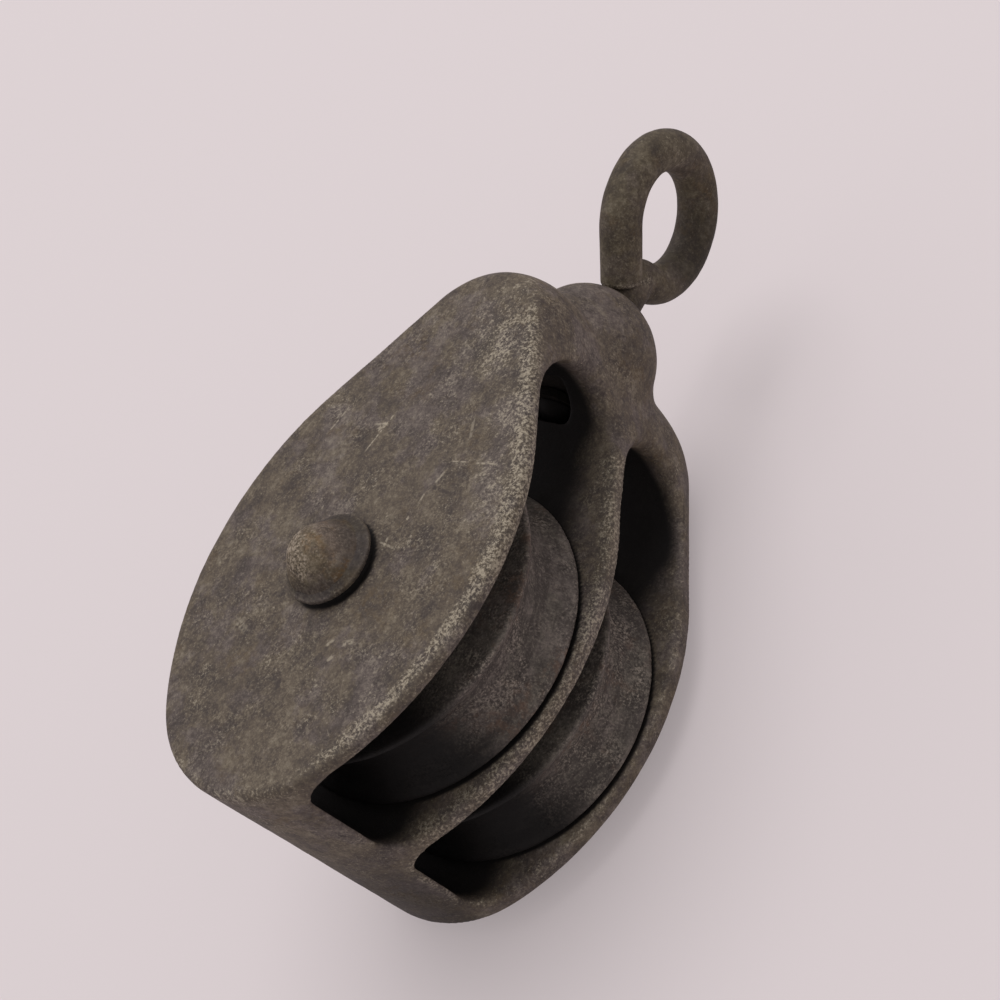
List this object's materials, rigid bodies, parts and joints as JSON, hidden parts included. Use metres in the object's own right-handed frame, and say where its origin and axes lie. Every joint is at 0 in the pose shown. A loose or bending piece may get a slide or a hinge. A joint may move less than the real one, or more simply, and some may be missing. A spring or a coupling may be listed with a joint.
{
  "type": "rope block",
  "caption": "Old cast iron rope block with twin sheaves side by side on a riveted pin, and a swivelling eye of bent rod at the crown.",
  "frame": {"origin": "under the middle of the block, level with the lowest point of the lower rivet", "axes": "+Z along the axle pin, from the cheek it lies on to the upper cheek; +Y along the shank to the eye; +X to the side where the rope enters"},
  "size_m": [0.0644, 0.154, 0.075],
  "materials": {
    "cast_shell": "weathered casting, worn bright on its edges",
    "cast_sheave": "weathered casting, worn in the groove",
    "wrought_pin": "dull hammered iron with rust",
    "forged_rod": "dull bent rod with thin rust",
    "bronze_bush": "tarnished and greasy"
  },
  "bodies": {
    "shell": {"shell": "cast_shell", "axle_pin": "wrought_pin", "washer_upper": "wrought_pin", "washer_lower": "wrought_pin"},
    "upper_sheave": {"sheave_upper": "cast_sheave", "bush_upper": "bronze_bush"},
    "lower_sheave": {"sheave_lower": "cast_sheave", "bush_lower": "bronze_bush"},
    "eye": {"swivel_eye": "forged_rod", "swivel_washer": "forged_rod"}
  },
  "joints": [
    {"name": "upper_sheave_spin", "type": "hinge", "parent": "shell", "child": "upper_sheave", "pos_m": [0, -0.0347, 0.04775], "axis": [0, 0, 1], "continuous": true},
    {"name": "lower_sheave_spin", "type": "hinge", "parent": "shell", "child": "lower_sheave", "pos_m": [0, -0.0347, 0.02065], "axis": [0, 0, 1], "continuous": true},
    {"name": "eye_swivel", "type": "hinge", "parent": "shell", "child": "eye", "pos_m": [0, 0.0263, 0.0366], "axis": [0, 1, 0], "continuous": true}
  ]
}
